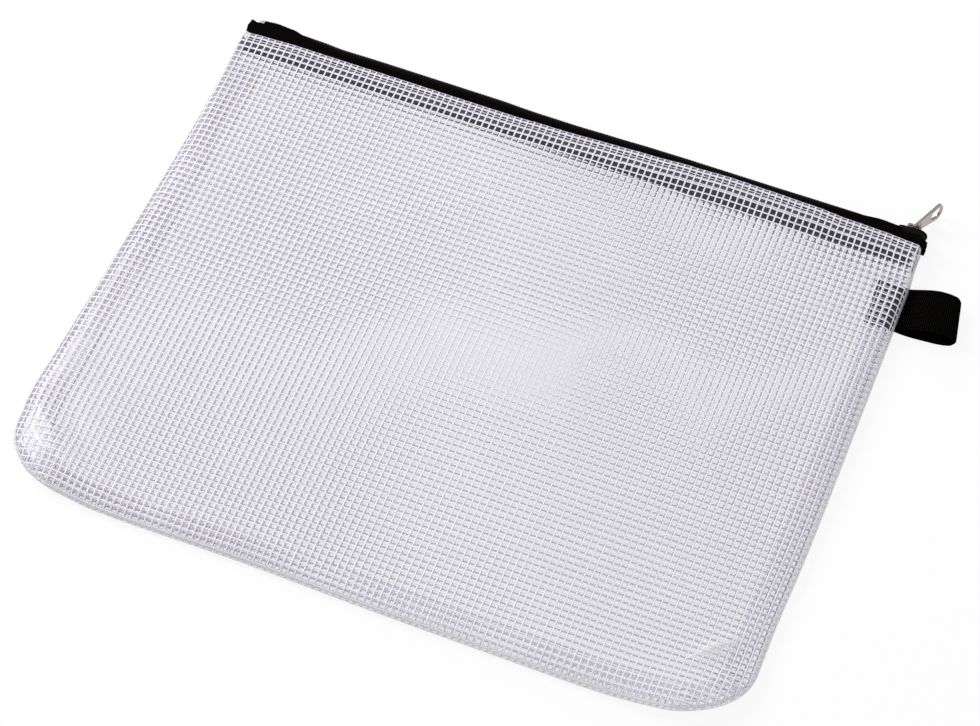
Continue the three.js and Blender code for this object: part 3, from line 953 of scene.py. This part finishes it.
# Sideways bow of the chain and rise of the tape's ridge, as tables of (X, shift)
CHAIN_SHIFT = (
    (-149, 0), (-126, 0), (-118, -0.2), (-107, -0.8), (-90, -0.6), (-38, -0.6), (-20, -1.1), (-3, -1.1),
    (14, -0.7), (32, -0.2), (49, 0), (83, 0.1), (101, 0.3), (118, 0.4), (128, 0.2), (136, 0),
)
RIDGE_LIFT = (
    (-150, 0.3), (-148.4, 1.1), (-146.8, 0.8), (-143.2, 0.8), (-142.4, 1.9), (-137, 2.2), (-130, 1.9),
    (-124, 1.0), (-116, 0.3), (-108, 0), (95, 0), (107, 0.5), (118, 0.9), (130, 1.7), (136, 1.6), (141, 0.7),
    (146, 0), (149, -0.3),
)


def tape_line(side):
    """Points across the tape: Y, height over the chain's middle and share in the ridge."""
    low, high = TAPES[side]
    start = low.y if side > 0 else MOUTH - 5.5
    reach = (high.z - CHAIN_Z) if side > 0 else (CHAIN_Z - low.z)
    flat_z = 1.725 if side > 0 else 3.225
    stand_y = high.y - S.tape / 2
    stand_end = reach - S.tape / 2 - TAPE_RIDGE
    fall = 1.2
    line = [(start + (MOUTH - 0.6 - start) * i / 4, flat_z, 0.0) for i in range(5)]
    line.append((MOUTH + 0.45, flat_z + 0.25, 0.1))
    for i in range(9, -1, -1):
        angle = (pi / 2 + fall) * i / 9
        y = stand_y - TAPE_RIDGE + TAPE_RIDGE * cos(angle)
        line.append((y, stand_end + TAPE_RIDGE * sin(angle), smooth(angle / fall)))
    line += [(stand_y, stand_end * part, 0.0) for part in (0.8, 0.6, 0.4)]
    return line + [(stand_y, CHAIN_GAP, 0.0)]


def make_tape(side, name, material, replaced):
    """A tape that is folded up over the chain, with its ridge raised and both its ends turned in."""
    line = tape_line(side)
    run = distances([point[:2] for point in line])
    count = round((TAPE_HIGH.x - TAPE_LOW.x) / 0.21)

    def place(i, j):
        y, height, share = line[j]
        # Beyond the mouth the tape is longer at both ends, and it closes down towards them
        out = smooth((y - MOUTH + 0.9) / 1.2)
        start = TAPE_LOW.x + 0.6 - 2.3 * out
        end = TAPE_HIGH.x - 3.1 + 4.8 * out
        x = start + (end - start) * i / (count - 1)
        closing = smooth(max((x - end + 2.4) / 2.4, (start + 1.6 - x) / 1.6))
        height *= 1 - 0.3 * closing
        if share > 0 or y > MOUTH + 2:
            y += between(x, CHAIN_SHIFT) - (0.5 if x > 0 else 0.9) * closing * closing
        if side > 0:
            lift = between(x, RIDGE_LIFT) * share
            height += lift
            y += 0.8 * lift
        # The weave is drawn in by each turn of the coil beneath it
        rib = spread(run[j] - run[-6], 1.5)
        ripple = 0.05 * rib * sin(tau * (x / S.coil_pitch + 0.35 * run[j]))
        return Vector((x, y + ripple * 0.6, CHAIN_Z + side * (height + ripple * 0.8))), x, run[j]

    sheet_piece(count, len(line), place, S.tape, name, material, "tape_cloth", replaced, 60)


def make_coil(side, name, material, replaced):
    """The turns of one coil, and the cord that they are wound round."""
    low, high = COILS[side]
    wire = S.coil_wire / 2
    outer = high.z - CHAIN_Z if side > 0 else CHAIN_Z - low.z
    centre_y = (low.y + high.y) / 2
    centre_z = CHAIN_Z + side * (outer + CHAIN_GAP) / 2
    half_y = (high.y - low.y) / 2 - wire
    half_z = (outer - CHAIN_GAP) / 2 - wire
    # The coil starts under the bottom stop, which sits further out than its solid
    first = low.x - 3
    turns = int((high.x - first - 1) / S.coil_pitch)
    steps = 12
    shift = 0.0 if side > 0 else 0.5

    def ring(place):
        angle = tau * place / steps
        x = first + 0.5 + (place / steps + shift) * S.coil_pitch
        c, s = cos(angle), sin(angle)
        y = centre_y + between(x, CHAIN_SHIFT) + half_y * s
        radial = Vector((0, s, side * c))
        along = Vector((S.coil_pitch / tau, half_y * c, -side * half_z * s)).normalized()
        return Vector((x, y, centre_z + side * half_z * c)), along.cross(radial), radial

    paths = [[ring(turn * steps + i) for i in range(steps + 1)] for turn in range(turns)]
    bm = tubes(paths, 6, wire, wire, capped=False)
    bmesh.ops.remove_doubles(bm, verts=bm.verts[:], dist=0.001)
    bmesh.ops.holes_fill(bm, edges=[e for e in bm.edges if e.is_boundary], sides=0)
    turn_outward(bm)
    finish_piece(bm, name + "_turns", material, "pouch", "nylon_coil", replaced, 75)
    cord = []
    for k in range(120):
        x = first + (high.x - first) * k / 119
        cord.append((Vector((x, centre_y + between(x, CHAIN_SHIFT), centre_z)), Vector((0, 1, 0)), UP))
    thick = wire * 0.6
    tube_piece([cord], half_y + thick, half_z + thick, name + "_cord", material, "nylon_coil", sides=8)


def make_bottom_stop(material):
    """A clip pressed over the folds of both tapes."""
    half_z = (STOP_HIGH.z - STOP_LOW.z) / 2 + 1.9
    half_back = half_z - 1.6
    front = STOP_HIGH.y + 0.9
    back = STOP_LOW.y
    inner = back + 0.45
    lip = TAPE_HIGH.y - 0.6
    slot = 0.36
    chamfer = 0.9
    points = [
        (back, -half_back), (back, half_back), (inner, half_back), (inner, slot), (lip, slot), (lip, half_z),
        (front - chamfer, half_z), (front, half_z - chamfer), (front, chamfer - half_z),
        (front - chamfer, -half_z), (lip, -half_z), (lip, -slot), (inner, -slot), (inner, -half_back),
    ]

    def place(u, v, w):
        return Vector((STOP_LOW.x - 4.1 + w, u, CHAIN_Z + v))

    bm = outline_solid(points, place, STOP_HIGH.x - STOP_LOW.x + 0.7, 0.14)
    finish_piece(bm, "bottom_stop_clip", material, "pouch", "bright_metal", ("bottom_stop",))


def make_top_stops(material):
    for node, name in (("front_top_stop", "front_top_clip"), ("back_top_stop", "back_top_clip")):
        bm = rounded_box(*box(node), 0.5, 3)
        finish_piece(bm, name, material, "pouch", "bright_metal", (node,))


# Slider and pull tab


def wing_outline(half_length, head, tail, rounding):
    """The slider's plan: a blunt head, straight shoulders and a narrower tail."""

    def corner(size, steps):
        turns = [pi / 2 * i / steps for i in range(steps + 1)]
        return [(size * (1 - sin(a)), size * (1 - cos(a))) for a in turns]

    half = [(-half_length + u, tail - v) for u, v in reversed(corner(rounding, 4))]
    half.append((half_length * 0.3, head))
    half += [(half_length - u, head - v) for u, v in corner(rounding * 1.6, 6)]
    return half + [(u, -v) for u, v in reversed(half)]


def make_slider(material):
    """Two wings, the flanges between them that guide the tapes, and the neck."""
    middle_x = (SLIDER_LOW.x + SLIDER_HIGH.x) / 2
    half_length = (SLIDER_HIGH.x - SLIDER_LOW.x) / 2
    half_width = (SLIDER_HIGH.z - SLIDER_LOW.z) / 2 - 0.5
    face = SLIDER_HIGH.y - 0.6
    back = SLIDER_LOW.y
    wing = 0.6

    def plate(level, outline, rounding):
        def place(u, v, w):
            return Vector((middle_x + u, level - w, CHAIN_Z + v))

        return outline_solid(outline, place, wing, rounding, 3)

    # Front wing and rear wing, then the two flanges and the neck
    parts = [
        plate(face, wing_outline(half_length, half_width, half_width - 0.5, 2.3), 0.28),
        plate(back + wing, wing_outline(half_length, 2.6, 2.3, 1.0), 0.35),
    ]
    for side in (1, -1):
        edges = sorted(CHAIN_Z + side * (half_width - inset) for inset in (0.12, 0.98))
        low = (SLIDER_LOW.x + 1.2, COIL_LOW.y + 0.05, edges[0])
        high = (SLIDER_HIGH.x - 2.2, face - 0.5, edges[1])
        parts.append(rounded_box(low, high, 0.3))
    low = (SLIDER_HIGH.x - 4.6, back + 0.5, CHAIN_Z - 0.35)
    high = (SLIDER_HIGH.x - 0.6, face - 0.5, CHAIN_Z + 0.35)
    parts.append(rounded_box(low, high, 0.12))
    finish_piece(joined(parts), "slider_shell", material, "slider", "black_enamel", ("slider_body",), 50)


def make_crown(material):
    """A bridge on the slider's face, whose two feet leave room for the pull tab's bar."""
    half = (CROWN_HIGH.x - CROWN_LOW.x) / 2
    middle = (CROWN_HIGH.x + CROWN_LOW.x) / 2
    foot = CROWN_LOW.y - 0.95
    top = CROWN_HIGH.y - 0.2
    shoulder = top - 1.1
    inside = half - 0.95
    under = top - 0.85
    outer = [(-half, foot), (-half, shoulder)]
    turns = (0.4, 0.8, 1.2, 1.57)
    outer += [(-half + 1.3 * (1 - cos(a)), shoulder + 1.1 * sin(a)) for a in turns]
    outer += [(-u, v) for u, v in reversed(outer)]
    inner = [(inside, foot), (inside, under - 0.4), (inside - 0.4, under)]
    inner += [(-u, v) for u, v in reversed(inner)]

    def place(u, v, w):
        return Vector((middle + u, v, CROWN_LOW.z + w))

    bm = outline_solid(outer + inner, place, CROWN_HIGH.z - CROWN_LOW.z, 0.22, 3)
    finish_piece(bm, "crown_bridge", material, "slider", "nickel", ("slider_crown",), 50)


def half_oval(u, reach, half, steps=12):
    """Half an oval from one side of the pull tab's middle line to the other."""
    turns = [pi * i / steps for i in range(steps + 1)]
    return [(u + reach * sin(a), -half * cos(a)) for a in turns]


def make_pull_tab(material):
    """The tab is drawn flat from its hinge line, given a raised rim and stood on edge."""
    pivot = Vector(HINGES["pull_tab_swing"]["pos_m"]) / MM
    reach, tip, base, thick = 16.3, 4.9, 2.9, 1.2
    rim, sunk = 0.42, 0.2
    # The tab's outline, the oval eye near its tip and the slot for the crown
    outline = [(-0.5, base), (-0.5, -base), (2.5, -base - 0.05)]
    outline += half_oval(reach - 3.0, 3.0, tip, 18)
    outline.append((2.5, base + 0.05))
    eye = half_oval(reach - 3.2, 2.3, 3.5) + half_oval(reach - 4.9, -1.9, -2.9)
    slot = [(0.5, -1.6), (3.7, -1.6), (3.7, 1.6), (0.5, 1.6)]
    bm = bmesh.new()
    edges = []
    for ring in (outline, eye, slot):
        verts = [bm.verts.new((u, v, -thick / 2)) for u, v in ring]
        for a, b in zip(verts, verts[1:] + verts[:1]):
            edges.append(bm.edges.new((a, b)))
    bmesh.ops.triangle_fill(bm, edges=edges, use_beauty=True, use_dissolve=False)
    raise_faces(bm, thick)
    for sign in (1, -1):
        faces = [f for f in bm.faces if f.normal.z * sign > 0.9]
        bmesh.ops.inset_region(bm, faces=faces, thickness=rim, depth=-0.02, use_even_offset=True)
        inner = {v for f in faces for v in f.verts}
        bmesh.ops.translate(bm, verts=list(inner), vec=(0, 0, -sign * sunk))
    round_edges(bm, 0.1, 2, 50)
    stood = Matrix.Rotation(PULL_ANGLE, 4, "Z") @ Matrix.Rotation(pi / 2, 4, "X")
    bmesh.ops.transform(bm, matrix=Matrix.Translation(pivot) @ stood, verts=bm.verts[:])
    finish_piece(bm, "pull_tab_plate", material, "tab", "nickel", ("pull_tab",), 35)


# Ribbon loop


def loop_line():
    """The ribbon's middle line in X and Z: tail, seam, drop-shaped loop, seam and tail."""
    # The curve sin(t) * sin(t / 2) draws the drop, and 0.77 is its greatest height
    size = (LOOP_HIGH.z - LOOP_LOW.z - S.ribbon) / 2 / 0.77
    start = LOOP_LOW.x + 0.08
    run = LOOP_HIGH.x - S.ribbon / 2 - start
    outer_z = (LOOP_HIGH.z + LOOP_LOW.z) / 2
    root = 0.45
    first = 0.3
    while size * sin(first) * sin(first / 2) < root and first < 1.2:
        first += 0.005
    first_share = (1 - cos(first)) / 2
    loop = []
    steps = 120
    for i in range(steps + 1):
        turn = first + (tau - 2 * first) * i / steps
        share = ((1 - cos(turn)) / 2 - first_share) / (1 - first_share)
        middle = SEAM_Z + (outer_z - SEAM_Z) * smooth(share * 1.6)
        loop.append((start + run * share, middle - size * sin(turn) * sin(turn / 2)))

    def tail(sign):
        level = SEAM_Z + sign * 0.33
        rise = SEAM_Z + sign * root - level
        shares = [i / 14 for i in range(14)]
        return [(TAIL_LOW.x + (start - TAIL_LOW.x) * t, level + rise * smooth(t * 1.6 - 0.6)) for t in shares]

    return tail(-1) + loop + tail(1)[::-1]


def even_points(line, step):
    """Points a step apart along a line, with the distance to each."""
    runs = distances(line)
    count = round(runs[-1] / step)
    result = []
    k = 0
    for i in range(count + 1):
        run = runs[-1] * i / count
        while k < len(runs) - 2 and runs[k + 1] < run:
            k += 1
        share = (run - runs[k]) / max(1e-9, runs[k + 1] - runs[k])
        a, b = line[k], line[k + 1]
        result.append((a[0] + (b[0] - a[0]) * share, a[1] + (b[1] - a[1]) * share, run))
    return result


def make_ribbon(material):
    """One ribbon through the seam: a skewed loop outside, two tails inside, and ribs across it."""
    points = even_points(loop_line(), S.rib_pitch / 5)
    middle_y = (LOOP_LOW.y + LOOP_HIGH.y) / 2
    half = (LOOP_HIGH.y - LOOP_LOW.y) / 2
    shares = (-1, -0.985, -0.95, -0.8, -0.6, -0.4, -0.2, 0, 0.2, 0.4, 0.6, 0.8, 0.95, 0.985, 1)
    rib_height = 0.1

    def place(i, j):
        x, z, run = points[i]
        across = shares[j]
        out = min(1.0, max(0.0, (x - LOOP_LOW.x) / (LOOP_HIGH.x - LOOP_LOW.x)))
        narrow = 0.9 * smooth((x - LOOP_HIGH.x + 2.2) / 2.2)
        y = middle_y + (half + 0.4 - narrow) * across * (1 - 0.05 * out) + 0.9 + 1.8 * out
        # The loop hangs skewed, and one edge of its tails slants inwards
        slide = out * (1.7 + 1.7 * across)
        if x < LOOP_LOW.x:
            slide = 1.4 * smooth((LOOP_LOW.x - x) / 10) * max(0.0, across)
        return Vector((x - slide, y, z)), run, middle_y + half * across

    bm = grid_sheet(len(points), len(shares), place)
    thicken(bm, S.ribbon - 0.16)
    uv = bm.loops.layers.uv.active
    flat = {loop.vert: loop[uv].uv.copy() for face in bm.faces for loop in face.loops}
    bm.normal_update()
    for vert, (run, across) in flat.items():
        fade = 1 - smooth((abs(across - middle_y) / half - 0.93) / 0.06)
        vert.co += vert.normal * rib_height * cos(tau * run / S.rib_pitch) * fade
    piece = finish_piece(bm, "ribbon", material, None, "ribbon", (), 60)
    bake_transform(piece)
    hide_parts("ribbon_loop", "front_loop_tail", "back_loop_tail")


# Stage


# The camera that was solved from the body's corners: its place and its three axes
CAMERA_PLACE = (0.22835, -0.5891, 1.0011)
CAMERA_RIGHT = (0.92992, 0.3676, 0.01085)
CAMERA_UP = (-0.31598, 0.78355, 0.53499)
CAMERA_BACK = (0.18816, -0.50092, 0.84479)


def add_light(name, place, size, power):
    """A square area light that points at the pouch."""
    light = bpy.data.lights.new(name, "AREA")
    light.shape = "RECTANGLE"
    light.size = light.size_y = size
    light.energy = power
    lamp = bpy.data.objects.new(name, light)
    bpy.context.scene.collection.objects.link(lamp)
    lamp.location = place
    lamp.rotation_euler = (-Vector(place)).to_track_quat("-Z", "Y").to_euler()


def make_stage(tint):
    camera = bpy.data.cameras.new("camera")
    camera.lens = 110.0
    camera.sensor_width = 36
    camera.clip_start = 0.05
    eye = bpy.data.objects.new("camera", camera)
    bpy.context.scene.collection.objects.link(eye)
    turn = Matrix((CAMERA_RIGHT, CAMERA_UP, CAMERA_BACK)).transposed()
    eye.matrix_world = Matrix.Translation(CAMERA_PLACE) @ turn.to_4x4()
    bpy.context.scene.camera = eye

    bm = bmesh.new()
    below = Matrix.Translation((0, 0, -0.25))
    bmesh.ops.create_grid(bm, x_segments=8, y_segments=8, size=2500, matrix=below)
    finish_piece(bm, "floor", floor_material(tint), None)

    world = bpy.data.worlds.new("soft_sky")
    bpy.context.scene.world = world
    world.use_nodes = True
    sky = world.node_tree.nodes["Background"]
    sky.inputs["Color"].default_value = (1.0, 1.0, 1.0, 1)
    sky.inputs["Strength"].default_value = 0.5

    add_light("key_light", (-1.3, 0.35, 1.15), 0.8, 23)
    add_light("fill_light", (0.9, -0.5, 1.1), 0.9, 3.6)
    add_light("glint_light", (-0.55, 0.95, 0.42), 0.2, 3)
    bpy.context.scene.view_settings.view_transform = "Standard"


# Operators


def sizes_and_colours(context):
    global S
    S = Millimetres(context.scene.pouch_sizes)
    return context.scene.pouch_colours


class POUCH_OT_films(bpy.types.Operator):
    """Makes the two clear films with their hems, and the grid woven into each"""

    bl_idname = "pouch.films"
    bl_label = "Films and grids"

    def execute(self, context):
        colours = sizes_and_colours(context)
        film = film_material("clear_film", colours.film, 0.065, 2.8)
        yarn = yarn_material("grid_yarn", colours.yarn, 0.4, 3)
        make_film(1, "front_film", film, ("front_panel", "front_hem"))
        make_film(-1, "back_film", film, ("back_panel", "back_hem"))
        make_scrim(1, "front_grid", yarn, (6.65, 0.9), 0.0)
        make_scrim(-1, "back_grid", yarn, (5.1, 2.2), 0.006)
        # The allowance yarn is painted 1.2 times lighter than the grid yarn: painted light where the layers
        # inside the pouch lie in shade.
        inner = yarn_material("painted_light_inner_yarn", shade(colours.yarn, 1.2), 0.5, 3)
        make_allowance(1, "front_allowance", inner, "front_seam_allowance")
        make_allowance(-1, "back_allowance", inner, "back_seam_allowance")
        make_edge_fold(film_material("milky_film", colours.fold, 0.34, 1.5))
        # The crease strips are a whiter, denser film laid on the front film: a painted highlight.
        make_crease_highlights(film_material("painted_highlight_film", shade(colours.fold, 1.1), 0.22, 1.5))
        return {"FINISHED"}


class POUCH_OT_stitches(bpy.types.Operator):
    """Makes the stitches of the side seam and of the two hems"""

    bl_idname = "pouch.stitches"
    bl_label = "Stitches"

    def execute(self, context):
        colours = sizes_and_colours(context)
        thread = yarn_material("sewing_thread", colours.thread, 0.5, 2)
        make_seam_stitches(thread)
        make_hem_stitches(1, "front_hem_stitches", thread, "front_hem_thread")
        make_hem_stitches(-1, "back_hem_stitches", thread, "back_hem_thread")
        return {"FINISHED"}


class POUCH_OT_zipper(bpy.types.Operator):
    """Makes the two tapes, the two coils and the stops"""

    bl_idname = "pouch.zipper"
    bl_label = "Zipper chain"

    def execute(self, context):
        colours = sizes_and_colours(context)
        tape = cloth_material("tape_cloth", colours.tape, 0.45, 0.38, "MULTIPLY", 0.8, 0.85, 3.0, 0.02)
        coil = plastic_material("nylon_coil", colours.coil, 0.45, 0.12)
        bright = metal_material("bright_metal", colours.stop, 0.25, (900, 300, 300))
        make_tape(1, "front_tape", tape, ("front_zipper_tape",))
        make_tape(-1, "back_tape", tape, ("back_zipper_tape",))
        make_coil(1, "front_coil", coil, ("front_coil",))
        make_coil(-1, "back_coil", coil, ("back_coil",))
        make_bottom_stop(bright)
        make_top_stops(coil)
        return {"FINISHED"}


class POUCH_OT_slider(bpy.types.Operator):
    """Makes the slider, its crown and the pull tab"""

    bl_idname = "pouch.slider"
    bl_label = "Slider and pull tab"

    def execute(self, context):
        colours = sizes_and_colours(context)
        enamel = plastic_material("black_enamel", colours.enamel, 0.35, 0.12)
        nickel = metal_material("nickel", colours.nickel, 0.36, (1400, 300, 2200))
        make_slider(enamel)
        make_crown(nickel)
        make_pull_tab(nickel)
        return {"FINISHED"}


class POUCH_OT_ribbon(bpy.types.Operator):
    """Makes the ribbon loop in the side seam"""

    bl_idname = "pouch.ribbon"
    bl_label = "Ribbon loop"

    def execute(self, context):
        colours = sizes_and_colours(context)
        # The ribbon's ribs are painted up to 17 times lighter than its tint, a painted sheen, with the
        # shader's own specular set to 0.
        cloth = cloth_material("ribbon_cloth", colours.ribbon, 0.88, 0.62, "MAXIMUM", 0.36, 0.85, 17.0, 0.0)
        make_ribbon(cloth)
        return {"FINISHED"}


class POUCH_OT_stage(bpy.types.Operator):
    """Makes the floor, the lights and the camera"""

    bl_idname = "pouch.stage"
    bl_label = "Floor, lights and camera"

    def execute(self, context):
        colours = sizes_and_colours(context)
        make_stage(colours.floor)
        return {"FINISHED"}


STEPS = (POUCH_OT_stage, POUCH_OT_films, POUCH_OT_stitches, POUCH_OT_zipper, POUCH_OT_slider, POUCH_OT_ribbon)


class POUCH_PT_panel(bpy.types.Panel):
    """Lists the pouch's steps, sizes and colours"""

    bl_idname = "POUCH_PT_panel"
    bl_label = "Zipper pouch"
    bl_space_type = "VIEW_3D"
    bl_region_type = "UI"
    bl_category = "Pouch"

    def draw(self, context):
        layout = self.layout
        for step in STEPS:
            layout.operator(step.bl_idname)
        for group in (context.scene.pouch_sizes, context.scene.pouch_colours):
            column = layout.column()
            for name in type(group).__annotations__:
                column.prop(group, name)


CLASSES = (PouchSizes, PouchColours, *STEPS, POUCH_PT_panel)


def register():
    for entry in CLASSES:
        bpy.utils.register_class(entry)
    bpy.types.Scene.pouch_sizes = PointerProperty(type=PouchSizes)
    bpy.types.Scene.pouch_colours = PointerProperty(type=PouchColours)


def unregister():
    del bpy.types.Scene.pouch_colours
    del bpy.types.Scene.pouch_sizes
    for entry in reversed(CLASSES):
        bpy.utils.unregister_class(entry)


def main():
    register()
    bpy.ops.pouch.stage()
    bpy.ops.pouch.films()
    bpy.ops.pouch.stitches()
    bpy.ops.pouch.zipper()
    bpy.ops.pouch.slider()
    bpy.ops.pouch.ribbon()


if __name__ == "__main__":
    main()
